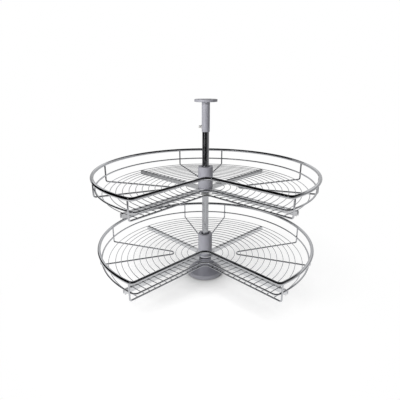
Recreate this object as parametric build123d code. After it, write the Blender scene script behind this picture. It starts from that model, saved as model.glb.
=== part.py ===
from build123d import *
import os
from math import acos, atan2, ceil, cos, pi, radians, sin, sqrt, tan

# Corner carousel: two three-quarter wire baskets that turn on a column between the floor and
# the top of a corner cabinet. Millimetres. The column stands on Z, its foot rests on z = 0,
# and the open quarter of the baskets faces -Y.

# Basket frame
rim_outer_diameter = 820.0
rim_wire_diameter = 12.0
mid_wire_diameter = 6.0
frame_wire_diameter = 6.0
notch_angle = 90.0
notch_apex_distance = 111.0
mid_wire_inset = 7.0
mid_wire_apex_distance = 115.0
mid_wire_drop = 41.0
basket_depth = 68.5
corner_bend_radius = 16.0
apex_bend_radius = 32.0
lower_rim_height = 150.5
upper_rim_height = 424.5
lower_basket_turn = 0.4
upper_basket_turn = 3.3

# Hairpin supports and notch wire
hairpin_angles = {"right": 0.0, "back": 90.0, "left": 180.0}
hairpin_half_width = 100.0
hairpin_tip_distance = 126.0
hairpin_tip_bend_radius = 14.0
leg_bend_radius = 7.0
leg_clearance = 0.3
notch_leg_angle = 36.0
notch_wire_apex_distance = 91.0
notch_wire_apex_radius = 20.0

# Wires, channel bars and hub plate of the basket floor
floor_wire_diameter = 2.8
inner_ring_radius = 71.0
ring_pitch = 23.4
evenly_spaced_rings = 12
outer_ring_radii = (349.5, 375.5)
ring_flatness = 0.8
bar_angles = {"front_right": 315.0, "back_right": 45.0, "back_left": 135.0, "front_left": 225.0}
bar_width = 12.0
bar_height = 16.5
bar_wall = 2.0
bar_end_distance = 380.0
hub_plate_diameter = 76.0
hub_plate_thickness = 2.5

# Plastic hub, lock ring and bushes
hub_diameter = 54.4
hub_bore_diameter = 31.0
hub_neck_diameter = 40.0
hub_edge_chamfer = 1.0
upper_hub_rise = 82.0
lower_hub_rise = 87.5
lock_ring_height = 10.5
lock_ring_step_height = 4.0
lock_ring_step_width = 2.0
bush_length = 14.0
bush_recess = 12.0

# Column and foot
tube_diameter = 25.0
tube_wall = 1.5
tube_top_height = 636.0
running_clearance = 0.05
thrust_washer_diameter = 46.0
thrust_washer_thickness = 4.0
foot_diameter = 136.0
foot_lip_height = 14.0
foot_lip_chamfer = 3.0
foot_neck_diameter = 54.0
foot_neck_height = 14.0
foot_cover_wall = 2.5
foot_plate_gap = 0.5
foot_plate_thickness = 4.0
foot_socket_wall = 5.0
foot_screw_hole_diameter = 5.5
foot_screw_circle_diameter = 100.0
foot_screw_count = 4
foot_first_screw_angle = 45.0

# Collar under the upper basket
collar_diameter = 31.0
collar_height = 14.0
collar_screw_diameter = 5.0
collar_screw_length = 4.0
collar_screw_key_width = 2.5
collar_screw_direction = 90.0

# Telescoping top sleeve with its flange and clamp screw
sleeve_diameter = 28.6
sleeve_bottom_height = 564.0
sleeve_edge_chamfer = 0.6
sleeve_closed_end = 5.0
flange_diameter = 80.6
flange_thickness = 8.5
flange_top_height = 675.5
flange_edge_chamfer = 1.2
flange_screw_hole_diameter = 4.5
flange_screw_circle_diameter = 60.0
flange_screw_count = 3
flange_first_screw_angle = 111.0
clamp_height = 581.5
clamp_screw_diameter = 6.0
clamp_nut_width = 10.0
clamp_nut_stand = 3.0
clamp_head_gap = 0.5
clamp_head_diameter = 8.4
clamp_head_length = 7.0
clamp_key_width = 4.0
key_socket_depth = 2.5
screw_tip_clearance = 0.3

# Sizes that follow from those above
rim_radius = (rim_outer_diameter - rim_wire_diameter) / 2
mid_wire_radius = rim_radius - mid_wire_inset
half_notch = radians(notch_angle / 2)
tube_radius = tube_diameter / 2
sliding_radius = tube_radius + running_clearance
hub_radius = hub_diameter / 2


def square_side(diameter):
    """Side of the square that has the area of a round wire."""
    return diameter * sqrt(pi) / 2


frame_half = square_side(frame_wire_diameter) / 2
leg_distance = mid_wire_radius + square_side(mid_wire_diameter) / 2 + leg_clearance + frame_half
ring_level = frame_half - basket_depth
plate_bottom = ring_level - hub_plate_thickness
hub_low = plate_bottom - lock_ring_height
foot_top = lower_rim_height + hub_low - thrust_washer_thickness
collar_top = upper_rim_height + hub_low - thrust_washer_thickness


def at_angle(distance, angle):
    """X and Y of a point at a distance from the column, in degrees from +X."""
    return distance * cos(radians(angle)), distance * sin(radians(angle))


def turned(outline):
    """Round piece on the column from its half section, given as radius and height pairs."""
    section = make_face(Polyline(*[(radius, 0, height) for radius, height in outline], close=True))
    return revolve(section, Axis.Z)


def ring(outer_radius, inner_radius, low, high):
    """Plain ring on the column between two heights."""
    return turned([(inner_radius, low), (outer_radius, low), (outer_radius, high), (inner_radius, high)])


def drilled(hole_radius, circle_diameter, count, first_angle, low, high):
    """Drills for a circle of holes, between two heights."""
    drill = Pos(0, 0, (low + high) / 2) * Cylinder(hole_radius, high - low)
    spots = [at_angle(circle_diameter / 2, first_angle + k * 360 / count) for k in range(count)]
    return [Pos(x, y, 0) * drill for x, y in spots]


def key_socket(width, depth):
    """Hexagon socket for a key, open upward at z = 0."""
    return extrude(RegularPolygon(width / 2, 6, major_radius=False), -depth)


def notch_corner(radius, apex_distance):
    """Where the right-hand side of the notch meets the circle."""
    run = 1 / tan(half_notch)
    a = 1 + run**2
    b = 2 * apex_distance * run
    c = apex_distance**2 - radius**2
    x = (sqrt(b**2 - 4 * a * c) - b) / (2 * a)
    return x, -apex_distance - x * run


def three_quarter_plan(radius, apex_distance):
    """Circle with the notch cut out of it and its three corners rounded."""
    x, y = notch_corner(radius, apex_distance)
    arc = ThreePointArc((x, y), (0, radius), (-x, y))
    plan = make_face([arc, Polyline((-x, y), (0, -apex_distance), (x, y))])
    plan = fillet(plan.vertices().sort_by(Axis.Y)[:2], corner_bend_radius)
    apex = plan.vertices().sort_by_distance((0, -apex_distance))[0]
    return fillet(apex, apex_bend_radius)


def bent_loop(radius, apex_distance, side):
    """Closed wire of square section along a three-quarter plan, centred on z = 0."""
    plan = three_quarter_plan(radius, apex_distance)
    band = offset(plan, side / 2) - offset(plan, -side / 2)
    return Pos(0, 0, -side / 2) * extrude(band, side)


def rim_wire():
    """Top wire of a basket, its square section cut to eight equal sides."""
    wire = bent_loop(rim_radius, notch_apex_distance, rim_wire_diameter)
    flat_faces = wire.faces().sort_by(Axis.Z)
    edges = flat_faces[0].edges() + flat_faces[-1].edges()
    return chamfer(edges, rim_wire_diameter / (2 + sqrt(2)))


def mid_wire():
    """Second wire, below the rim and inside the legs."""
    loop = bent_loop(mid_wire_radius, mid_wire_apex_distance, square_side(mid_wire_diameter))
    return Pos(0, 0, -mid_wire_drop) * loop


def bent_wire(points, bends):
    """Frame wire of square section through the points, with a bend radius at each corner."""
    path = FilletPolyline(*points, radius=bends)
    down = path % 0
    inward = Vector(points[2]) - Vector(points[1])
    start = Plane(origin=path @ 0, x_dir=down.cross(inward), z_dir=down)
    section = start * Rectangle(2 * frame_half, 2 * frame_half)
    return sweep(section, path=path)


def hairpin_corner():
    """Distance from the column at which the two arms of a hairpin would meet."""
    leg_x = sqrt(leg_distance**2 - hairpin_half_width**2)
    corner = hairpin_tip_distance
    for _ in range(40):
        half_angle = atan2(hairpin_half_width, leg_x - corner)
        corner = hairpin_tip_distance - hairpin_tip_bend_radius * (1 / sin(half_angle) - 1)
    return leg_x, corner


def hairpin():
    """Support wire along +X: down from the rim, in to a tight bend near the hub, and back."""
    leg_x, corner = hairpin_corner()
    leg_top = -rim_wire_diameter / 2
    points = [
        (leg_x, hairpin_half_width, leg_top),
        (leg_x, hairpin_half_width, -basket_depth),
        (corner, 0, -basket_depth),
        (leg_x, -hairpin_half_width, -basket_depth),
        (leg_x, -hairpin_half_width, leg_top),
    ]
    return bent_wire(points, [leg_bend_radius, hairpin_tip_bend_radius, leg_bend_radius])


def notch_leg():
    """Foot of the notch wire's right-hand leg."""
    return at_angle(leg_distance, 270 + notch_leg_angle)


def notch_wire():
    """Wire along the open quarter at floor level, with a leg up to the rim at each corner."""
    x, y = notch_leg()
    leg_top = -rim_wire_diameter / 2
    points = [
        (-x, y, leg_top),
        (-x, y, -basket_depth),
        (0, -notch_wire_apex_distance, -basket_depth),
        (x, y, -basket_depth),
        (x, y, leg_top),
    ]
    return bent_wire(points, [leg_bend_radius, notch_wire_apex_radius, leg_bend_radius])


def open_quarter():
    """Plan of the space in front of the notch wire, up to the wire's outer edge."""
    x, y = notch_leg()
    side_angle = atan2(x, -y - notch_wire_apex_distance)
    apex_y = -notch_wire_apex_distance - frame_half / sin(side_angle)
    reach = rim_outer_diameter
    far_x = reach * tan(side_angle)
    plan = make_face(Polyline((0, apex_y), (far_x, apex_y - reach), (-far_x, apex_y - reach), close=True))
    apex = plan.vertices().sort_by(Axis.Y)[-1]
    return fillet(apex, notch_wire_apex_radius - frame_half)


def floor_ring(radius, cut):
    """Wire round the hub in straight sides that stay close to a true circle, to keep it light."""
    side = square_side(floor_wire_diameter)
    sides = ceil(pi / acos(1 - ring_flatness / radius))
    plan = RegularPolygon(radius + side / 2, sides) - RegularPolygon(radius - side / 2, sides)
    return Pos(0, 0, ring_level) * extrude(plan - cut, side).solid()


def floor_rings():
    """All the floor wires: two full circles, then rings cut off at the notch wire."""
    even = [inner_ring_radius + k * ring_pitch for k in range(evenly_spaced_rings)]
    cut = open_quarter()
    return Compound(children=[floor_ring(radius, cut) for radius in even + list(outer_ring_radii)])


def radial_bar():
    """Channel along +X, open below, that carries the floor wires from the hub plate outward."""
    middle = Pos(bar_end_distance / 2, 0, ring_level)
    down = (Align.CENTER, Align.CENTER, Align.MAX)
    inner_width = bar_width - 2 * bar_wall
    bar = middle * Box(bar_end_distance, bar_width, bar_height, align=down)
    bar -= middle * Pos(0, 0, -bar_wall) * Box(bar_end_distance, inner_width, bar_height, align=down)
    return bar - Pos(0, 0, ring_level) * Cylinder(hub_plate_diameter / 2, 2 * bar_height)


def hub_plate():
    """Round plate that joins the bars and is held between the hub and its lock ring."""
    return ring(hub_plate_diameter / 2, hub_neck_diameter / 2, plate_bottom, ring_level)


def hub(rise):
    """Moulded hub: a barrel above the plate and a neck through it, bored for its bushes."""
    top = rise - basket_depth
    bore = hub_bore_diameter / 2
    neck = hub_neck_diameter / 2
    return turned([
        (bore, hub_low),
        (neck, hub_low),
        (neck, ring_level),
        (hub_radius, ring_level),
        (hub_radius, top - hub_edge_chamfer),
        (hub_radius - hub_edge_chamfer, top),
        (bore, top),
    ])


def lock_ring():
    """Ring on the hub's neck that holds the plate, stepped in at its foot."""
    neck = hub_neck_diameter / 2
    step_level = hub_low + lock_ring_step_height
    return turned([
        (neck, hub_low),
        (hub_radius - lock_ring_step_width, hub_low),
        (hub_radius - lock_ring_step_width, step_level),
        (hub_radius, step_level),
        (hub_radius, plate_bottom),
        (neck, plate_bottom),
    ])


def hub_bushes(rise):
    """Two bushes in the hub's bore, which run on the column tube."""
    bore = hub_bore_diameter / 2
    upper_high = rise - basket_depth - bush_recess
    upper = ring(bore, sliding_radius, upper_high - bush_length, upper_high)
    lower = ring(bore, sliding_radius, hub_low, hub_low + bush_length)
    return Compound(children=[upper.solid(), lower.solid()])


def basket(shelf, rim_height, turn, hub_rise):
    """All pieces of one basket, turned and lifted into place."""
    pieces = {
        "rim_wire": rim_wire(),
        "mid_wire": mid_wire(),
        "notch_wire": notch_wire(),
        "floor_rings": floor_rings(),
        "hub_plate": hub_plate(),
        "hub": hub(hub_rise),
        "lock_ring": lock_ring(),
        "hub_bushes": hub_bushes(hub_rise),
    }
    for side, angle in hairpin_angles.items():
        pieces[f"hairpin_{side}"] = Rot(0, 0, angle) * hairpin()
    for side, angle in bar_angles.items():
        pieces[f"bar_{side}"] = Rot(0, 0, angle) * radial_bar()
    place = Pos(0, 0, rim_height) * Rot(0, 0, turn)
    return {f"{shelf}_{name}": place * piece for name, piece in pieces.items()}


def foot_form(wall):
    """Lip, cone and neck of the foot; with a wall taken off, the hollow inside it."""
    radius = foot_diameter / 2 - wall
    neck = foot_neck_diameter / 2 - wall
    lip = foot_lip_height - wall
    return turned([
        (0, 0),
        (radius, 0),
        (radius, lip - foot_lip_chamfer),
        (radius - foot_lip_chamfer, lip),
        (neck, foot_top - foot_neck_height - wall),
        (neck, foot_top - wall),
        (0, foot_top - wall),
    ])


def foot_cover():
    """Moulded cone over the foot plate, which carries the lower basket's washer."""
    tube_hole = Pos(0, 0, foot_top / 2) * Cylinder(tube_radius, foot_top)
    return foot_form(0) - foot_form(foot_cover_wall) - tube_hole


def foot_plate():
    """Steel plate for the cabinet floor, with a socket for the tube and holes for screws."""
    radius = foot_diameter / 2 - foot_cover_wall - foot_plate_gap
    socket = tube_radius + foot_socket_wall
    socket_top = foot_top - foot_cover_wall
    plate = turned([
        (0, 0),
        (radius, 0),
        (radius, foot_plate_thickness),
        (socket, foot_plate_thickness),
        (socket, socket_top),
        (tube_radius, socket_top),
        (tube_radius, foot_plate_thickness),
        (0, foot_plate_thickness),
    ])
    pattern = (foot_screw_circle_diameter, foot_screw_count, foot_first_screw_angle)
    return plate - drilled(foot_screw_hole_diameter / 2, *pattern, 0, foot_plate_thickness)


def column_tube():
    """Round steel tube from the foot plate up into the top sleeve."""
    return ring(tube_radius, tube_radius - tube_wall, foot_plate_thickness, tube_top_height)


def thrust_washer(low):
    """Plain washer that a lock ring turns on."""
    return ring(thrust_washer_diameter / 2, sliding_radius, low, low + thrust_washer_thickness)


def radial_place(direction, height):
    """Frame on the column's surface side: its Z points outward in the given direction."""
    return Plane(origin=(0, 0, height), x_dir=(0, 0, 1), z_dir=(*at_angle(1, direction), 0))


def collar():
    """Ring clamped on the tube under the upper basket, tapped for its screw."""
    body = ring(collar_diameter / 2, sliding_radius, collar_top - collar_height, collar_top)
    drill = extrude(Circle(collar_screw_diameter / 2), collar_diameter)
    return body - radial_place(collar_screw_direction, collar_top - collar_height / 2) * drill


def collar_screw():
    """Headless screw that bears on the tube, with a socket for a key."""
    start = tube_radius + screw_tip_clearance
    radius = collar_screw_diameter / 2 - running_clearance
    socket_depth = collar_screw_length / 2
    screw = Pos(0, 0, start) * extrude(Circle(radius), collar_screw_length)
    screw -= Pos(0, 0, start + collar_screw_length) * key_socket(collar_screw_key_width, socket_depth)
    return radial_place(collar_screw_direction, collar_top - collar_height / 2) * screw


def clamp_nut_blank():
    """Hexagon of the clamp nut, through the sleeve's wall and standing off it."""
    start = tube_radius + screw_tip_clearance
    length = sleeve_diameter / 2 + clamp_nut_stand - start
    hexagon = extrude(RegularPolygon(clamp_nut_width / 2, 6, major_radius=False), length)
    return radial_place(180, clamp_height) * Pos(0, 0, start) * hexagon


def clamp_nut():
    """Threaded insert set in the sleeve's wall."""
    bore = extrude(Circle(clamp_screw_diameter / 2), sleeve_diameter)
    return clamp_nut_blank() - radial_place(180, clamp_height) * bore


def clamp_screw():
    """Screw with a round head, turned with a key to clamp the sleeve on the tube."""
    tip = tube_radius + screw_tip_clearance
    head = sleeve_diameter / 2 + clamp_nut_stand + clamp_head_gap
    shank_radius = clamp_screw_diameter / 2 - running_clearance
    screw = Pos(0, 0, tip) * extrude(Circle(shank_radius), head - tip)
    screw += Pos(0, 0, head) * extrude(Circle(clamp_head_diameter / 2), clamp_head_length)
    screw -= Pos(0, 0, head + clamp_head_length) * key_socket(clamp_key_width, key_socket_depth)
    return radial_place(180, clamp_height) * screw


def top_sleeve():
    """Moulded sleeve that slides on the tube, with the flange for the cabinet's top."""
    radius = sleeve_diameter / 2
    flange_low = flange_top_height - flange_thickness
    body = turned([
        (sliding_radius, sleeve_bottom_height),
        (radius - sleeve_edge_chamfer, sleeve_bottom_height),
        (radius, sleeve_bottom_height + sleeve_edge_chamfer),
        (radius, flange_low),
        (flange_diameter / 2 - flange_edge_chamfer, flange_low),
        (flange_diameter / 2, flange_low + flange_edge_chamfer),
        (flange_diameter / 2, flange_top_height),
        (0, flange_top_height),
        (0, flange_top_height - sleeve_closed_end),
        (sliding_radius, flange_top_height - sleeve_closed_end),
    ])
    pattern = (flange_screw_circle_diameter, flange_screw_count, flange_first_screw_angle)
    hole = flange_screw_hole_diameter / 2
    body -= drilled(hole, *pattern, flange_low, flange_top_height)
    return body - clamp_nut_blank()


os.makedirs("parts", exist_ok=True)
nodes = {
    "foot_plate": foot_plate(),
    "foot_cover": foot_cover(),
    "column_tube": column_tube(),
    "lower_thrust_washer": thrust_washer(foot_top),
    "collar": collar(),
    "collar_screw": collar_screw(),
    "upper_thrust_washer": thrust_washer(collar_top),
    "top_sleeve": top_sleeve(),
    "clamp_nut": clamp_nut(),
    "clamp_screw": clamp_screw(),
}
nodes |= basket("lower", lower_rim_height, lower_basket_turn, lower_hub_rise)
nodes |= basket("upper", upper_rim_height, upper_basket_turn, upper_hub_rise)
for name, shape in nodes.items():
    export_step(shape, f"parts/{name}.step")
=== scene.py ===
import math

import bmesh
import bpy
from mathutils import Matrix, Vector


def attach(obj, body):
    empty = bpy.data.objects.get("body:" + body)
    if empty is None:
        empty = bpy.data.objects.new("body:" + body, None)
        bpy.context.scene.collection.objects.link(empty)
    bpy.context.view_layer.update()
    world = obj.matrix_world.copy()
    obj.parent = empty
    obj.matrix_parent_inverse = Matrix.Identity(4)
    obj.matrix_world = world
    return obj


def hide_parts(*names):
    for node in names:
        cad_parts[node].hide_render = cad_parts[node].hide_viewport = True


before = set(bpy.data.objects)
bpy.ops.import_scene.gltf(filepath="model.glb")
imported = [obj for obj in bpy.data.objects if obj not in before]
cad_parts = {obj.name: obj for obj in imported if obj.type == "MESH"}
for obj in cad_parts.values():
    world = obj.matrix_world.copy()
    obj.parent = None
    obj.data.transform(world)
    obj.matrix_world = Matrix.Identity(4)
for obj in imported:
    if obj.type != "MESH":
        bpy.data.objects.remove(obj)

bpy.context.view_layer.update()
mm = 0.001


# Surround: the carousel stands in a white studio. Its walls give a weak even light, and look
# plain white to the camera and in bright metal.


def colour(code):
    """Linear colour from an sRGB hex code."""
    channels = [int(code[k:k + 2], 16) / 255 for k in (1, 3, 5)]
    return [c / 12.92 if c <= 0.04045 else ((c + 0.055) / 1.055) ** 2.4 for c in channels] + [1.0]


def add(tree, kind, inputs=None, **settings):
    """Adds a node with its settings; an input is a value or another node's output."""
    node = tree.nodes.new(kind)
    for name, value in settings.items():
        setattr(node, name, value)
    for name, value in (inputs or {}).items():
        if isinstance(value, bpy.types.NodeSocket):
            tree.links.new(value, node.inputs[name])
        else:
            node.inputs[name].default_value = value
    return node


def background_rays(tree):
    """1 for rays that look for the background: the camera's, and those off metal and glass."""
    rays = add(tree, "ShaderNodeLightPath").outputs
    seen_or_mirrored = {0: rays["Is Camera Ray"], 1: rays["Is Glossy Ray"]}
    either = add(tree, "ShaderNodeMath", seen_or_mirrored, operation="MAXIMUM")
    with_glass = {0: either.outputs[0], 1: rays["Is Transmission Ray"]}
    return add(tree, "ShaderNodeMath", with_glass, operation="MAXIMUM").outputs[0]


surround_light = 0.25
world = bpy.data.worlds.new("white_surround")
bpy.context.scene.world = world
world.use_nodes = True
tree = world.node_tree
tree.nodes.clear()
lit = add(tree, "ShaderNodeBackground", {"Color": colour("#FFFFFF"), "Strength": surround_light})
seen = add(tree, "ShaderNodeBackground", {"Color": colour("#FFFFFF"), "Strength": 1.0})
walls = add(tree, "ShaderNodeMixShader", {0: background_rays(tree), 1: lit.outputs[0], 2: seen.outputs[0]})
add(tree, "ShaderNodeOutputWorld", {"Surface": walls.outputs[0]})


# Floor: a wide disc of matt white paper. Near the column it shows a little of the light that
# falls on it and, for the rest, white that is dimmed where the carousel shades it. Beyond the
# baskets it turns plain white. Lengths here are metres, apart from the fibres and the drop.


def blank_material(name):
    """New material with nothing but its output: the material, its node tree and that node."""
    material = bpy.data.materials.new(name)
    material.use_nodes = True
    material.node_tree.nodes.clear()
    return material, material.node_tree, add(material.node_tree, "ShaderNodeOutputMaterial")


def put(name, mesh, material):
    """New object that shows a mesh in a material."""
    piece = bpy.data.objects.new(name, mesh)
    bpy.context.scene.collection.objects.link(piece)
    mesh.materials.append(material)
    return piece


floor_radius = 12.0
floor_sides = 96
floor_drop = 0.2
fibre_length = 1.1
unseen_paper = 0.95
seen_paper = 0.45
shadow_reach = 0.3
white_from = 0.75
shade_reach = 0.15
full_shade = 0.52
no_shade = 0.87
paper_glow = 0.77
paper, tree, output = blank_material("white_studio_paper")
place = add(tree, "ShaderNodeTexCoord").outputs["Object"]
grain = add(tree, "ShaderNodeTexNoise", {"Vector": place, "Scale": 1 / (fibre_length * mm), "Detail": 3.0})
fibres = add(tree, "ShaderNodeBump", {
    "Height": grain.outputs["Fac"],
    "Strength": 0.05,
    "Distance": 0.1 * mm})
rays = background_rays(tree)
paleness = add(tree, "ShaderNodeMapRange", {"Value": rays, "To Min": unseen_paper, "To Max": seen_paper})
matt = add(tree, "ShaderNodeBsdfDiffuse", {"Color": paleness.outputs[0], "Normal": fibres.outputs[0]})
open_sky = add(tree, "ShaderNodeAmbientOcclusion", {"Distance": shade_reach}, samples=16)
unshaded = add(tree, "ShaderNodeMapRange", {
    "Value": open_sky.outputs["AO"],
    "From Min": full_shade,
    "From Max": no_shade,
    "To Max": paper_glow})
part_white = add(tree, "ShaderNodeMath", {0: rays, 1: unshaded.outputs[0]}, operation="MULTIPLY")
part_glow = add(tree, "ShaderNodeEmission", {"Color": colour("#FFFFFF"), "Strength": part_white.outputs[0]})
shaded = add(tree, "ShaderNodeAddShader", {0: matt.outputs[0], 1: part_glow.outputs[0]})
glow = add(tree, "ShaderNodeEmission", {"Color": colour("#FFFFFF"), "Strength": 1.0})
from_column = add(tree, "ShaderNodeVectorMath", {0: place}, operation="LENGTH")
bleach = add(tree, "ShaderNodeMapRange", {
    "Value": from_column.outputs["Value"],
    "From Min": shadow_reach,
    "From Max": white_from}, interpolation_type="SMOOTHSTEP")
share = add(tree, "ShaderNodeMath", {0: rays, 1: bleach.outputs[0]}, operation="MULTIPLY")
surface = add(tree, "ShaderNodeMixShader", {0: share.outputs[0], 1: shaded.outputs[0], 2: glow.outputs[0]})
tree.links.new(surface.outputs[0], output.inputs["Surface"])
disc = bmesh.new()
bmesh.ops.create_circle(disc, cap_ends=True, segments=floor_sides, radius=floor_radius)
mesh = bpy.data.meshes.new("studio_floor")
disc.to_mesh(mesh)
disc.free()
floor = put("studio_floor", mesh, paper)
floor.location.z = -floor_drop * mm


# Flags: black cloth in front, to the left and overhead, and black net to the right and behind,
# all out of the picture, as they stand when bright metal is photographed. Only reflections see
# them, so the chrome shows dark stripes beside white ones. Reaches and heights are in metres.
flag_distance = 2.0
flag_height = 1.15
flag_foot = 0.001
front_wall = [(1.4, flag_foot), (flag_distance, flag_foot), (flag_distance, flag_height)]
rear_wall = [(1.15, flag_foot), (flag_distance, flag_foot), (flag_distance, 1.0)]
front_roof = [(flag_distance, flag_height), (1.2, 1.9), (0.05, 2.1)]
rear_roof = [(flag_distance, 1.6), (1.2, 1.95), (0.05, 2.1)]
front_turn = -125
rear_turn = 100
closing_turn = 235
strip_turn = 5
net_turn = 20
side_opening = 0.4
extra_behind = 0.3


def net_opening(turn):
    """How open the net is at a turn in degrees from the front, positive to the right."""
    if turn > rear_turn:
        behind = (turn - rear_turn) / (closing_turn - rear_turn)
        return side_opening + extra_behind * math.sin(math.pi * behind)
    return max(0.0, (turn - net_turn) / (rear_turn - net_turn) * side_opening)


thread_spacing = 2.5
cloth, tree, output = blank_material("black_flag_net")
place = add(tree, "ShaderNodeTexCoord").outputs["Object"]
weave = add(tree, "ShaderNodeTexNoise", {"Vector": place, "Scale": 1 / (thread_spacing * mm), "Detail": 2.0})
nap = add(tree, "ShaderNodeBump", {"Height": weave.outputs["Fac"], "Strength": 0.2, "Distance": 0.5 * mm})
threads = add(tree, "ShaderNodeBsdfDiffuse", {"Color": colour("#141416"), "Normal": nap.outputs[0]})
gaps = add(tree, "ShaderNodeBsdfTransparent")
opening = add(tree, "ShaderNodeAttribute", attribute_name="open_share").outputs["Fac"]
weft = add(tree, "ShaderNodeMixShader", {0: opening, 1: threads.outputs[0], 2: gaps.outputs[0]})
tree.links.new(weft.outputs[0], output.inputs["Surface"])

sheets = bmesh.new()
open_share = sheets.verts.layers.float.new("open_share")
panels = (
    (front_turn, rear_turn, front_wall, True),
    (rear_turn, closing_turn, rear_wall, True),
    (front_turn, rear_turn, front_roof, False),
    (rear_turn, closing_turn, rear_roof, False))
for first_turn, last_turn, profile, netted in panels:
    for strip in range(first_turn, last_turn, strip_turn):
        rows = []
        for turn in (strip, strip + strip_turn):
            a = math.radians(turn - 90)
            row = []
            for reach, height in profile:
                vertex = sheets.verts.new((reach * math.cos(a), reach * math.sin(a), height))
                vertex[open_share] = net_opening(turn) if netted else 0.0
                row.append(vertex)
            rows.append(row)
        for n in range(len(profile) - 1):
            sheets.faces.new((rows[0][n], rows[1][n], rows[1][n + 1], rows[0][n + 1]))
mesh = bpy.data.meshes.new("studio_flags")
sheets.to_mesh(mesh)
sheets.free()
flags = put("studio_flags", mesh, cloth)
for kind in ("camera", "diffuse", "shadow", "transmission", "volume_scatter"):
    setattr(flags, f"visible_{kind}", False)


# Lamps: a strong square soft box to the left of the camera and a weak one to the right. Their
# places and widths are in metres.
carousel_middle = Vector((0.0, 0.0, 0.3))
soft_box_width = 0.9
key_place = Vector((-1.5, -1.6, 1.1))
key_watts = 42.0
fill_place = Vector((1.7, -1.2, 1.3))
fill_watts = 2.0
lamps = (("key_soft_box", key_place, key_watts), ("fill_soft_box", fill_place, fill_watts))
for name, place, watts in lamps:
    lamp = bpy.data.lights.new(name, "AREA")
    lamp.shape = "SQUARE"
    lamp.size = soft_box_width
    lamp.energy = watts
    soft_box = bpy.data.objects.new(name, lamp)
    bpy.context.scene.collection.objects.link(soft_box)
    soft_box.location = place
    soft_box.rotation_euler = (carousel_middle - place).to_track_quat("-Z", "Y").to_euler()


# Camera: it stands in front of the open quarter, a little above the top of the column, and
# looks down on the baskets.
camera_place = Vector((0.0, -1255.4, 734.7)) * mm
camera_pitch = math.radians(18.837)
camera_yaw = math.radians(-0.930)
lens = bpy.data.cameras.new("camera")
lens.sensor_width = 36.0
lens.lens = 31.383
lens.clip_start = 0.01
camera = bpy.data.objects.new("camera", lens)
bpy.context.scene.collection.objects.link(camera)
forward = Vector((
    math.sin(camera_yaw) * math.cos(camera_pitch),
    math.cos(camera_yaw) * math.cos(camera_pitch),
    -math.sin(camera_pitch)))
across = Vector((math.cos(camera_yaw), -math.sin(camera_yaw), 0.0))
facing = Matrix((across, across.cross(forward), -forward)).transposed()
camera.matrix_world = Matrix.Translation(camera_place) @ facing.to_4x4()
bpy.context.scene.camera = camera
bpy.context.scene.view_settings.view_transform = "Standard"


# Foot plate: a zinc-plated steel disc with a socket for the column, screwed to the cabinet's
# floor. Passivated zinc is a dull silver with faint cloudy patches. From here on, all lengths
# are millimetres.


def dress(node_name, material, edge=0.0):
    """Gives a solid of the frame its material, and rounds its edges by a few tenths."""
    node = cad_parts[node_name]
    node.data.materials.clear()
    node.data.materials.append(material)
    if edge:
        weld = node.modifiers.new("weld", "WELD")
        weld.merge_threshold = 0.001 * mm
        rounding = node.modifiers.new("rounding", "BEVEL")
        rounding.width = edge * mm
        rounding.segments = 2
        rounding.limit_method = "ANGLE"
        rounding.angle_limit = math.radians(40)


patch_size = 5.556
crystal_size = 0.4
zinc, tree, output = blank_material("zinc_plated_steel")
place = add(tree, "ShaderNodeTexCoord").outputs["Object"]
patches = add(tree, "ShaderNodeTexNoise", {
    "Vector": place,
    "Scale": 1 / (patch_size * mm),
    "Detail": 4.0,
    "Roughness": 0.6})
tone = add(tree, "ShaderNodeValToRGB", {"Fac": patches.outputs["Fac"]})
tone.color_ramp.elements[0].color = colour("#A6A7A3")
tone.color_ramp.elements[1].color = colour("#C9CAC8")
dullness = add(tree, "ShaderNodeMapRange", {"Value": patches.outputs["Fac"], "To Min": 0.28, "To Max": 0.42})
crystals = add(tree, "ShaderNodeTexNoise", {
    "Vector": place,
    "Scale": 1 / (crystal_size * mm),
    "Detail": 2.0})
tooth = add(tree, "ShaderNodeBump", {
    "Height": crystals.outputs["Fac"],
    "Strength": 0.12,
    "Distance": 0.05 * mm})
metal = add(tree, "ShaderNodeBsdfPrincipled", {
    "Base Color": tone.outputs[0],
    "Metallic": 1.0,
    "Roughness": dullness.outputs[0],
    "Normal": tooth.outputs[0]})
tree.links.new(metal.outputs[0], output.inputs["Surface"])
dress("foot_plate", zinc)


# Foot cover: a cone moulded in grey polypropylene that snaps over the plate, with three fine
# steps under its neck and a lip. It is one plastic in two painted greys: the cone darker, as
# painted shade from the baskets above it, and the lip paler, as painted light from the floor.
# The mould's spark-eroded face leaves a fine even grain, and the flow of the plastic a faint
# change of tone.


def bend(corners, radii, closed=False):
    """Points along a line whose corners are rounded, each by its own radius."""
    corners = [Vector(corner) for corner in corners]
    last = len(corners) - 1
    points = []
    for k, corner in enumerate(corners):
        radius = radii[k]
        if not radius or (not closed and k in (0, last)):
            points.append(corner)
            continue
        back = (corners[k - 1] - corner).normalized()
        ahead = (corners[(k + 1) % len(corners)] - corner).normalized()
        half = back.angle(ahead) / 2
        centre = corner + (back + ahead).normalized() * radius / math.sin(half)
        first = (corner + back * radius / math.tan(half) - centre).normalized()
        final = (corner + ahead * radius / math.tan(half) - centre).normalized()
        steps = max(2, math.ceil(first.angle(final) / bend_step))
        points += [centre + first.slerp(final, n / steps) * radius for n in range(steps + 1)]
    return points


def mesh_of(name, shape, sharp=35):
    """Mesh of a bmesh, smooth apart from edges sharper than an angle in degrees."""
    bmesh.ops.recalc_face_normals(shape, faces=shape.faces)
    mesh = bpy.data.meshes.new(name)
    shape.to_mesh(mesh)
    shape.free()
    mesh.polygons.foreach_set("use_smooth", [True] * len(mesh.polygons))
    mesh.set_sharp_from_angle(angle=math.radians(sharp))
    return mesh


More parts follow.
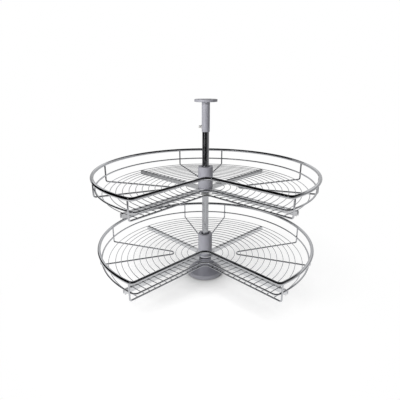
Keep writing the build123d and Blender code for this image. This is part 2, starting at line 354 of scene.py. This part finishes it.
def turned(name, corners, material, sides=96):
    """Round piece from its half section: each corner's radius, height and rounding."""
    places = [(radius * mm, 0, height * mm) for radius, height, _ in corners]
    section = bend(places, [rounding * mm for _, _, rounding in corners], closed=True)
    shape = bmesh.new()
    columns = []
    for k in range(sides):
        a = 2 * math.pi * k / sides
        columns.append([shape.verts.new((p.x * math.cos(a), p.x * math.sin(a), p.z)) for p in section])
    for k, column in enumerate(columns):
        beside = columns[(k + 1) % sides]
        for n in range(len(section)):
            m = (n + 1) % len(section)
            shape.faces.new((column[n], beside[n], beside[m], column[m]))
    bmesh.ops.remove_doubles(shape, verts=shape.verts, dist=0.001 * mm)
    bmesh.ops.dissolve_degenerate(shape, edges=shape.edges, dist=0.001 * mm)
    return put(name, mesh_of(name, shape), material)


def moulded_plastic(name, dark, light):
    """Polypropylene between two shades, with the grain of its mould."""
    material, tree, output = blank_material(name)
    place = add(tree, "ShaderNodeTexCoord").outputs["Object"]
    flow = add(tree, "ShaderNodeTexNoise", {"Vector": place, "Scale": 1 / (flow_size * mm), "Detail": 3.0})
    tone = add(tree, "ShaderNodeValToRGB", {"Fac": flow.outputs["Fac"]})
    tone.color_ramp.elements[0].position = 0.3
    tone.color_ramp.elements[0].color = colour(dark)
    tone.color_ramp.elements[1].position = 0.7
    tone.color_ramp.elements[1].color = colour(light)
    grain = add(tree, "ShaderNodeTexNoise", {
        "Vector": place,
        "Scale": 1 / (mould_grain * mm),
        "Detail": 2.0})
    skin = add(tree, "ShaderNodeBump", {
        "Height": grain.outputs["Fac"],
        "Strength": 0.25,
        "Distance": 0.04 * mm})
    dullness = add(tree, "ShaderNodeMapRange", {"Value": flow.outputs["Fac"], "To Min": 0.38, "To Max": 0.5})
    plastic = add(tree, "ShaderNodeBsdfPrincipled", {
        "Base Color": tone.outputs[0],
        "Roughness": dullness.outputs[0],
        "IOR": 1.49,
        "Normal": skin.outputs[0]})
    tree.links.new(plastic.outputs[0], output.inputs["Surface"])
    return material


bend_step = math.radians(7)
flow_size = 22.22
mould_grain = 0.35
# Two greys of the one plastic: the darker is painted shade on the cone, the paler is painted light on the
# lip.
cone_grey_painted_shade = moulded_plastic("polypropylene_foot_painted_shade", "#86868F", "#8C8C95")
lip_grey_painted_light = moulded_plastic("polypropylene_lip_painted_light", "#A6A6AE", "#ACACB4")

foot_sides = 128
foot_radius = 68.0
foot_top = 67.659
foot_wall = 2.5
neck_radius = 27.0
neck_height = 14.0
neck_low = foot_top - neck_height
lip_height = 14.0
lip_slope = 3.0
# The lip's painted light starts this far below its upper edge.
lip_edge = 0.5
step_places = (0.09, 0.18, 0.27)
step_depth = 0.7
step_rise = 0.14
step_slant = 0.1
step_rounding = 0.3
tube_radius = 12.5

corners = [
    (tube_radius, foot_top, 0),
    (neck_radius, foot_top, 1.0),
    (neck_radius, neck_low, 3.0)]
for share in step_places:
    radius = neck_radius + share * (foot_radius - lip_slope - neck_radius)
    height = neck_low - share * (neck_low - lip_height)
    corners += [
        (radius + step_slant, height + step_rise, step_rounding),
        (radius, height - step_depth, step_rounding)]
corners += [
    (foot_radius - lip_slope, lip_height, 1.5),
    (foot_radius, lip_height - lip_slope, 1.5),
    (foot_radius, 0, 0.5),
    (foot_radius - foot_wall, 0, 0),
    (foot_radius - foot_wall, lip_height - foot_wall - lip_slope, 0),
    (foot_radius - foot_wall - lip_slope, lip_height - foot_wall, 0),
    (neck_radius - foot_wall, neck_low - foot_wall, 0),
    (neck_radius - foot_wall, foot_top - foot_wall, 0),
    (tube_radius, foot_top - foot_wall, 0)]
cover = turned("foot_cone", corners, cone_grey_painted_shade, foot_sides)
cover.data.materials.append(lip_grey_painted_light)
# The outside of the lip below its edge takes the paler grey of painted light, and the rest keeps the darker
# grey of painted shade.
for face in cover.data.polygons:
    below_edge = face.center.z < (lip_height - lip_edge) * mm
    outside = face.center.xy.length > (foot_radius - foot_wall) * mm
    face.material_index = 1 if below_edge and outside else 0
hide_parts("foot_cover")
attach(cover, "column")


# Column: a round steel tube, ground, polished and chrome plated. Chrome is a bright mirror
# with a slight blue cast and an uneven haze, and shows faint grinding marks round the tube.


def chrome(name, code, rough_low, rough_high, mark_length, mark_width):
    """Chrome plate with a haze between two roughnesses, and polishing marks of a size."""
    material, tree, output = blank_material(name)
    place = add(tree, "ShaderNodeTexCoord").outputs["Object"]
    haze = add(tree, "ShaderNodeTexNoise", {
        "Vector": place,
        "Scale": 1 / (haze_size * mm),
        "Detail": 5.0,
        "Roughness": 0.6})
    dullness = add(tree, "ShaderNodeMapRange", {
        "Value": haze.outputs["Fac"],
        "From Min": 0.35,
        "From Max": 0.65,
        "To Min": rough_low,
        "To Max": rough_high})
    along = 1 / (mark_length * mm)
    stretch = add(tree, "ShaderNodeMapping", {
        "Vector": place,
        "Scale": (along, along, 1 / (mark_width * mm))})
    marks = add(tree, "ShaderNodeTexNoise", {"Vector": stretch.outputs[0], "Scale": 1.0, "Detail": 2.0})
    polish = add(tree, "ShaderNodeBump", {
        "Height": marks.outputs["Fac"],
        "Strength": 0.06,
        "Distance": 0.03 * mm})
    plate = add(tree, "ShaderNodeBsdfPrincipled", {
        "Base Color": colour(code),
        "Metallic": 1.0,
        "Roughness": dullness.outputs[0],
        "Normal": polish.outputs[0]})
    tree.links.new(plate.outputs[0], output.inputs["Surface"])
    return material


haze_size = 33.33
tube_chrome = chrome(
    "chrome_plated_tube", "#ABACAF", rough_low=0.14, rough_high=0.2, mark_length=6.0, mark_width=0.4)
tube_wall = 1.5
tube_bore = tube_radius - tube_wall
tube_low = 4.0
tube_top = 636.0
tube_edge = 0.3
corners = [
    (tube_bore, tube_low, tube_edge),
    (tube_radius, tube_low, tube_edge),
    (tube_radius, tube_top, tube_edge),
    (tube_bore, tube_top, tube_edge)]
tube = turned("column_chrome_tube", corners, tube_chrome)
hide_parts("column_tube")
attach(tube, "column")


# Thrust washers: turned discs of black acetal that carry the lock rings. Acetal is smooth and
# a little waxy, with fine turning rings. The wave pattern that draws them runs through
# wave_radians in one unit of its scale.
turning_pitch = 0.628
rubbed_size = 8.333
wave_radians = 20.0
acetal, tree, output = blank_material("turned_black_acetal")
place = add(tree, "ShaderNodeTexCoord").outputs["Object"]
turning = add(tree, "ShaderNodeTexWave", {
    "Vector": place,
    "Scale": 2 * math.pi / wave_radians / (turning_pitch * mm),
    "Distortion": 0.4}, wave_type="RINGS", rings_direction="Z")
tooling = add(tree, "ShaderNodeBump", {
    "Height": turning.outputs["Fac"],
    "Strength": 0.1,
    "Distance": 0.02 * mm})
rubbed = add(tree, "ShaderNodeTexNoise", {"Vector": place, "Scale": 1 / (rubbed_size * mm), "Detail": 3.0})
dullness = add(tree, "ShaderNodeMapRange", {"Value": rubbed.outputs["Fac"], "To Min": 0.25, "To Max": 0.4})
plastic = add(tree, "ShaderNodeBsdfPrincipled", {
    "Base Color": colour("#26262A"),
    "Roughness": dullness.outputs[0],
    "IOR": 1.48,
    "Normal": tooling.outputs[0]})
tree.links.new(plastic.outputs[0], output.inputs["Surface"])
dress("lower_thrust_washer", acetal)
dress("upper_thrust_washer", acetal)


# Shelf collar: a zinc-plated steel ring clamped on the tube by a headless screw. It carries
# the upper basket, and slides when its screw is loose.
collar_edge = 0.4
dress("collar", zinc, collar_edge)
dress("collar_screw", zinc)


# Rims and second wires: a thick wire bent round the three-quarter plan makes each basket's
# rim, and a thinner one runs below it. The wires of a basket are drawn, bent on a former,
# welded and then plated together, which gives a bright mirror with a faint uneven haze.


def arc(centre, radius, start, end, steps):
    """Points round a centre in plan, from one angle to another in radians."""
    points = []
    for k in range(steps + 1):
        a = start + (end - start) * k / steps
        points.append(centre + radius * Vector((math.cos(a), math.sin(a))))
    return points


def notched_circle(radius, apex):
    """Points round a basket's plan: the circle, the notch, and the bends between them."""
    normal = Vector((math.sqrt(0.5), math.sqrt(0.5)))
    along = Vector((math.sqrt(0.5), -math.sqrt(0.5)))
    side = corner_bend - apex * math.sqrt(0.5)
    reach = math.sqrt((radius - corner_bend) ** 2 - side ** 2)
    centre = normal * side + along * reach
    touch = centre * radius / (radius - corner_bend)
    circle_start = math.atan2(touch.y, touch.x)
    bend_start = math.atan2(-normal.y, -normal.x)
    bend_end = bend_start + (circle_start - bend_start) % (2 * math.pi)
    right = arc(centre, corner_bend, bend_start, bend_end, bend_sides)[:-1]
    circle = arc(Vector((0, 0)), radius, circle_start, math.pi - circle_start, circle_sides)
    left = [Vector((-p.x, p.y)) for p in reversed(right)]
    tip_centre = Vector((0, -apex - apex_bend * math.sqrt(2)))
    tip = arc(tip_centre, apex_bend, math.radians(135), math.radians(45), bend_sides)
    return right + circle + left + tip


def wire(name, lines, diameter, roundness, closed=False):
    """Round wires along lines of points, as one mesh; more roundness gives them more sides."""
    curve = bpy.data.curves.new(name, "CURVE")
    curve.dimensions = "3D"
    curve.bevel_depth = diameter / 2 * mm
    curve.bevel_resolution = roundness
    curve.use_fill_caps = True
    for line in lines:
        spline = curve.splines.new("POLY")
        spline.points.add(len(line) - 1)
        for point, spot in zip(spline.points, line):
            point.co = (*(Vector(spot) * mm), 1)
        spline.use_cyclic_u = closed
    holder = bpy.data.objects.new(name, curve)
    mesh = bpy.data.meshes.new_from_object(holder)
    mesh.name = name
    bpy.data.objects.remove(holder)
    mesh.polygons.foreach_set("use_smooth", [True] * len(mesh.polygons))
    mesh.set_sharp_from_angle(angle=math.radians(50))
    return put(name, mesh, wire_chrome)


def settle(piece, shelf, *nodes):
    """Turns and lifts a piece into its basket, where it stands for the solids named."""
    lift = Matrix.Translation((0, 0, rim_height[shelf] * mm))
    piece.data.transform(lift @ Matrix.Rotation(math.radians(basket_turn[shelf]), 4, "Z"))
    if nodes:
        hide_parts(*nodes)
    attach(piece, f"{shelf}_basket")


wire_chrome = chrome(
    "chrome_plated_wire", "#B8B9BC", rough_low=0.05, rough_high=0.1, mark_length=1.2, mark_width=1.2)
shelves = ("lower", "upper")
rim_height = {"lower": 150.5, "upper": 424.5}
basket_turn = {"lower": 0.4, "upper": 3.3}

# An apex is how far in front of the column the straight sides of a notch would meet.
rim_radius = 404.0
rim_diameter = 12.0
rim_apex = 111.0
mid_radius = 397.0
mid_diameter = 6.0
mid_apex = 115.0
mid_drop = 41.0
corner_bend = 16.0
apex_bend = 32.0
bend_sides = 14
circle_sides = 150
rim_roundness = 5
wire_roundness = 4
for shelf in shelves:
    line = [(p.x, p.y, 0) for p in notched_circle(rim_radius, rim_apex)]
    rim = wire(f"{shelf}_rim", [line], rim_diameter, rim_roundness, closed=True)
    settle(rim, shelf, f"{shelf}_rim_wire")
    line = [(p.x, p.y, -mid_drop) for p in notched_circle(mid_radius, mid_apex)]
    mid = wire(f"{shelf}_mid", [line], mid_diameter, wire_roundness, closed=True)
    settle(mid, shelf, f"{shelf}_mid_wire")


# Hairpin supports: three wires under each basket, each bent to a hairpin that lies flat and
# carries the floor. Both its ends are bent up outside the second wire, as legs that are welded
# to it and to the rim.
basket_depth = 68.5
frame_diameter = 6.0

# Half the side of a square with a round wire's area, for a diameter of 1: the solids have
# square wires, and the round ones keep their places.
half_section = math.sqrt(math.pi) / 4
leg_gap = 0.3
leg_distance = mid_radius + (mid_diameter + frame_diameter) * half_section + leg_gap
leg_top = -4.5
leg_bend = 7.0
hairpin_half_width = 100.0
hairpin_tip = 126.0
hairpin_tip_bend = 14.0
hairpin_turns = {"right": 0, "back": 90, "left": 180}
hairpin_tries = 40
leg_x = math.sqrt(leg_distance ** 2 - hairpin_half_width ** 2)

# The straight sides would meet nearer the column than the rounded tip reaches. Where is found
# by repeated steps, as the angle between them depends on it.
hairpin_corner = hairpin_tip
for _ in range(hairpin_tries):
    half_angle = math.atan2(hairpin_half_width, leg_x - hairpin_corner)
    hairpin_corner = hairpin_tip - hairpin_tip_bend * (1 / math.sin(half_angle) - 1)

corners = [
    (leg_x, hairpin_half_width, leg_top),
    (leg_x, hairpin_half_width, -basket_depth),
    (hairpin_corner, 0, -basket_depth),
    (leg_x, -hairpin_half_width, -basket_depth),
    (leg_x, -hairpin_half_width, leg_top)]
line = bend(corners, [0, leg_bend, hairpin_tip_bend, leg_bend, 0])
for shelf in shelves:
    for side, turn in hairpin_turns.items():
        about = Matrix.Rotation(math.radians(turn), 3, "Z")
        hairpin = [about @ p for p in line]
        support = wire(f"{shelf}_{side}_support", [hairpin], frame_diameter, wire_roundness)
        settle(support, shelf, f"{shelf}_hairpin_{side}")


# Notch wires: one wire of the same thickness follows the notch under each basket's floor, and
# ends in two legs near the rim's corners.
notch_leg_angle = math.radians(36.0)
notch_wire_apex = 91.0
notch_wire_bend = 20.0
notch_leg = Vector((
    leg_distance * math.sin(notch_leg_angle),
    -leg_distance * math.cos(notch_leg_angle),
    -basket_depth))
notch_corner = Vector((0, -notch_wire_apex, -basket_depth))
corners = [
    (-notch_leg.x, notch_leg.y, leg_top),
    (-notch_leg.x, notch_leg.y, -basket_depth),
    notch_corner,
    notch_leg,
    (notch_leg.x, notch_leg.y, leg_top)]
line = bend(corners, [0, leg_bend, notch_wire_bend, leg_bend, 0])
for shelf in shelves:
    edge = wire(f"{shelf}_notch_edge", [line], frame_diameter, wire_roundness)
    settle(edge, shelf, f"{shelf}_notch_wire")


# Floor rings: fourteen thin wires round the column make each floor. The two smallest are full
# circles, and the others are cut off where they meet the notch wire.


def polar(radius, angle, height):
    """Point at a radius and an angle in radians."""
    return Vector((radius * math.cos(angle), radius * math.sin(angle), height))


def meeting(start, end, radius):
    """Where a straight wire crosses a floor ring, seen in plan."""
    run = (end - start).xy
    from_start = start.xy
    a = run.dot(run)
    b = 2 * run.dot(from_start)
    c = from_start.dot(from_start) - radius ** 2
    share = (math.sqrt(b * b - 4 * a * c) - b) / (2 * a)
    return from_start + run * share


floor_level = -65.841
ring_diameter = 2.8
ring_level = floor_level + ring_diameter * half_section
ring_roundness = 2
first_ring = 71.0
ring_spacing = 23.4
even_ring_count = 12
whole_ring_count = 2
last_rings = [349.5, 375.5]
even_rings = [first_ring + ring_spacing * k for k in range(even_ring_count)]
whole_rings = even_rings[:whole_ring_count]
cut_rings = even_rings[whole_ring_count:] + last_rings
ring_overhang = 1.6
arc_step = 9.0
whole_ring_sides = 72
arcs = []
for radius in cut_rings:
    spot = meeting(notch_corner, notch_leg, radius)
    start = math.atan2(spot.y, spot.x) - ring_overhang / radius
    span = math.pi - 2 * start
    steps = math.ceil(radius * span / arc_step)
    arcs.append([polar(radius, start + span * k / steps, ring_level) for k in range(steps + 1)])
circles = []
for radius in whole_rings:
    angles = [2 * math.pi * k / whole_ring_sides for k in range(whole_ring_sides)]
    circles.append([polar(radius, angle, ring_level) for angle in angles])
for shelf in shelves:
    outer = wire(f"{shelf}_floor_wires", arcs, ring_diameter, ring_roundness)
    settle(outer, shelf, f"{shelf}_floor_rings")
    inner = wire(f"{shelf}_whole_rings", circles, ring_diameter, ring_roundness, closed=True)
    settle(inner, shelf)


# Weld nuggets: where two wires were pressed together under current, a little steel is squeezed
# out round the joint and plated over. Each is a flat blob: its half lengths run outward, round
# the column and up.
bar_nugget = (1.8, 1.5, 0.4)
frame_nugget = (1.8, 1.8, 0.9)
frame_nugget_lift = 0.2
rim_nugget = (3.6, 3.6, 0.9)
rim_nugget_level = -5.7
side_nugget = (1.0, 2.6, 2.6)
nugget_detail = 2
bar_turns = (45, 135, 225, 315)
bar_level = ring_level - ring_diameter / 2
frame_level = bar_level + frame_nugget_lift
hairpin_start = Vector((hairpin_corner, 0, 0))
nuggets = []
for radius in whole_rings + cut_rings:
    for turn in bar_turns:
        a = math.radians(turn)
        nuggets.append((polar(radius, a, bar_level), bar_nugget, a))
    for turn in hairpin_turns.values():
        for way in (1, -1):
            if radius >= hairpin_tip:
                spot = meeting(hairpin_start, Vector((leg_x, way * hairpin_half_width, 0)), radius)
                a = math.atan2(spot.y, spot.x) + math.radians(turn)
                nuggets.append((polar(radius, a, frame_level), frame_nugget, a))
    if radius in cut_rings:
        spot = meeting(notch_corner, notch_leg, radius)
        for way in (1, -1):
            a = math.atan2(spot.y, way * spot.x)
            nuggets.append((polar(radius, a, frame_level), frame_nugget, a))
legs = []
for turn in hairpin_turns.values():
    for way in (1, -1):
        leg = Vector((leg_x, way * hairpin_half_width, 0))
        legs.append(Matrix.Rotation(math.radians(turn), 3, "Z") @ leg)
for way in (1, -1):
    legs.append(Vector((way * notch_leg.x, notch_leg.y, 0)))
for leg in legs:
    a = math.atan2(leg.y, leg.x)
    nuggets.append((Vector((leg.x, leg.y, rim_nugget_level)), rim_nugget, a))
    nuggets.append((polar((leg_distance + mid_radius) / 2, a, -mid_drop), side_nugget, a))
for shelf in shelves:
    blobs = bmesh.new()
    for spot, size, a in nuggets:
        swell = Matrix.Diagonal((size[0] * mm, size[1] * mm, size[2] * mm, 1))
        placed = Matrix.Translation(spot * mm) @ Matrix.Rotation(a, 4, "Z") @ swell
        bmesh.ops.create_icosphere(blobs, subdivisions=nugget_detail, radius=1.0, matrix=placed)
    name = f"{shelf}_weld_nuggets"
    welds = put(name, mesh_of(name, blobs, sharp=180), wire_chrome)
    settle(welds, shelf)


# Radial bars and hub plates: four bars of steel strip, folded to an open channel, carry each
# basket, and a pressed disc joins them at the hub. The plating keeps the strip's satin face,
# so the bars show no clear reflections.
bar_chrome = chrome(
    "satin_chrome_plated_bar", "#D2D3D5", rough_low=0.36, rough_high=0.44, mark_length=2.0, mark_width=2.0)
bar_edge = 0.8
plate_edge = 0.3
for shelf in shelves:
    for side in ("front_right", "back_right", "back_left", "front_left"):
        dress(f"{shelf}_bar_{side}", bar_chrome, bar_edge)
    dress(f"{shelf}_hub_plate", bar_chrome, plate_edge)


# Hubs: moulded in the same grey as the sleeve, with a neck through the hub plate and a stepped
# lock ring pressed on it from below. Two bushes of undyed acetal, milky white and a little
# waxy, run on the tube.
hub_grey = moulded_plastic("moulded_polypropylene_hub", "#A0A0A8", "#A7A7AF")
polished_size = 6.667
white_acetal, tree, output = blank_material("natural_acetal")
place = add(tree, "ShaderNodeTexCoord").outputs["Object"]
worn = add(tree, "ShaderNodeTexNoise", {"Vector": place, "Scale": 1 / (polished_size * mm), "Detail": 3.0})
dullness = add(tree, "ShaderNodeMapRange", {"Value": worn.outputs["Fac"], "To Min": 0.25, "To Max": 0.4})
tone = add(tree, "ShaderNodeValToRGB", {"Fac": worn.outputs["Fac"]})
tone.color_ramp.elements[0].color = colour("#DADAD4")
tone.color_ramp.elements[1].color = colour("#E6E6E1")
plastic = add(tree, "ShaderNodeBsdfPrincipled", {
    "Base Color": tone.outputs[0],
    "Roughness": dullness.outputs[0],
    "IOR": 1.48,
    "Subsurface Weight": 0.1})
tree.links.new(plastic.outputs[0], output.inputs["Surface"])

# A hub's rise is its height above the frame wires of its basket.
hub_rise = {"lower": 87.5, "upper": 82.0}
hub_radius = 27.2
hub_bore = 15.5
hub_neck = 20.0
plate_thickness = 2.5
plate_low = floor_level - plate_thickness
lock_height = 10.5
hub_low = plate_low - lock_height
lock_inset = 2.0
lock_radius = hub_radius - lock_inset
lock_step_height = 4.0
lock_step = hub_low + lock_step_height
for shelf in shelves:
    hub_top = hub_rise[shelf] - basket_depth
    corners = [
        (hub_bore, hub_low, 0),
        (hub_neck, hub_low, 0),
        (hub_neck, floor_level, 0),
        (hub_radius, floor_level, 0.5),
        (hub_radius, hub_top, 1.4),
        (hub_bore, hub_top, 0.8)]
    barrel = turned(f"{shelf}_hub_barrel", corners, hub_grey)
    settle(barrel, shelf, f"{shelf}_hub")
    corners = [
        (hub_neck, hub_low, 0),
        (lock_radius, hub_low, 0.6),
        (lock_radius, lock_step, 0.3),
        (hub_radius, lock_step, 0.8),
        (hub_radius, plate_low, 0.8),
        (hub_neck, plate_low, 0)]
    lock = turned(f"{shelf}_stepped_ring", corners, hub_grey)
    settle(lock, shelf, f"{shelf}_lock_ring")
    dress(f"{shelf}_hub_bushes", white_acetal)


# Top sleeve: moulded in one with its flange, it slides on the tube until the flange is tight
# under the cabinet's top. Three countersunk holes in the flange take wood screws, and a pocket
# in its wall the clamp nut.
sleeve_sides = 128
sleeve_radius = 14.3
sleeve_bore = 12.55
sleeve_low = 564.0
flange_radius = 40.3
flange_top = 675.5
flange_thickness = 8.5
flange_low = flange_top - flange_thickness
end_thickness = 5.0
closed_end = flange_top - end_thickness
corners = [
    (sleeve_bore, sleeve_low, 0.2),
    (sleeve_radius, sleeve_low, 0.6),
    (sleeve_radius, flange_low, 3.0),
    (flange_radius, flange_low, 1.6),
    (flange_radius, flange_top, 1.2),
    (0, flange_top, 0),
    (0, closed_end, 0),
    (sleeve_bore, closed_end, 0)]
sleeve = turned("sliding_sleeve", corners, hub_grey, sleeve_sides)

hole_circle = 30.0
hole_count = 3
first_hole_turn = 111
hole_radius = 2.25
sink_radius = 4.5
sink_depth = 2.25
drill_overshoot = 2.0
sink_overshoot = 0.05
hole_sides = 40
nut_place = Vector((-15.05, 0, 581.5))
nut_width = 10.0
nut_depth = 4.5
tools = bmesh.new()
drill = (flange_low - drill_overshoot, flange_top + drill_overshoot, hole_radius, hole_radius)
countersink = (
    flange_top - sink_depth,
    flange_top + sink_overshoot,
    hole_radius - sink_overshoot,
    sink_radius)
for k in range(hole_count):
    spot = polar(hole_circle, math.radians(first_hole_turn + 360 / hole_count * k), 0)
    for low, high, low_radius, high_radius in (drill, countersink):
        middle = Matrix.Translation(Vector((spot.x, spot.y, (low + high) / 2)) * mm)
        bmesh.ops.create_cone(
            tools, cap_ends=True, segments=hole_sides, radius1=low_radius * mm, radius2=high_radius * mm,
            depth=(high - low) * mm, matrix=middle)
nut_axis = Matrix.Translation(nut_place * mm) @ Matrix.Rotation(math.radians(90), 4, "Y")
nut_corner = nut_width / math.sqrt(3) * mm
bmesh.ops.create_cone(
    tools, cap_ends=True, segments=6, radius1=nut_corner, radius2=nut_corner,
    depth=nut_depth * mm, matrix=nut_axis)

# The drills, countersinks and pocket are cut out in one go, and their own shapes go.
cutter = put("cutter", mesh_of("cutter", tools), hub_grey)
cut = sleeve.modifiers.new("holes", "BOOLEAN")
cut.operation = "DIFFERENCE"
cut.solver = "EXACT"
cut.use_self = True
cut.object = cutter
bpy.context.view_layer.update()
holed = bpy.data.meshes.new_from_object(sleeve.evaluated_get(bpy.context.evaluated_depsgraph_get()))
sleeve.modifiers.remove(cut)
sleeve.data = holed
holed.polygons.foreach_set("use_smooth", [True] * len(holed.polygons))
holed.set_sharp_from_angle(angle=math.radians(30))
bpy.data.objects.remove(cutter)
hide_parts("top_sleeve")
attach(sleeve, "top_sleeve")


# Clamp: a hexagon nut set in the sleeve's wall, with a socket screw that is driven against the
# tube. Both are steel with bright zinc plate, which is nearly white and soft in its shine.
cloud_size = 2.5
clamp_edge = 0.3
bright_zinc, tree, output = blank_material("bright_zinc_plate")
place = add(tree, "ShaderNodeTexCoord").outputs["Object"]
clouds = add(tree, "ShaderNodeTexNoise", {"Vector": place, "Scale": 1 / (cloud_size * mm), "Detail": 3.0})
tone = add(tree, "ShaderNodeValToRGB", {"Fac": clouds.outputs["Fac"]})
tone.color_ramp.elements[0].color = colour("#E2E1DE")
tone.color_ramp.elements[1].color = colour("#EDECE9")
dullness = add(tree, "ShaderNodeMapRange", {"Value": clouds.outputs["Fac"], "To Min": 0.5, "To Max": 0.6})
metal = add(tree, "ShaderNodeBsdfPrincipled", {
    "Base Color": tone.outputs[0],
    "Metallic": 1.0,
    "Roughness": dullness.outputs[0]})
tree.links.new(metal.outputs[0], output.inputs["Surface"])
dress("clamp_nut", bright_zinc, clamp_edge)
dress("clamp_screw", bright_zinc, clamp_edge)


bpy.context.view_layer.update()
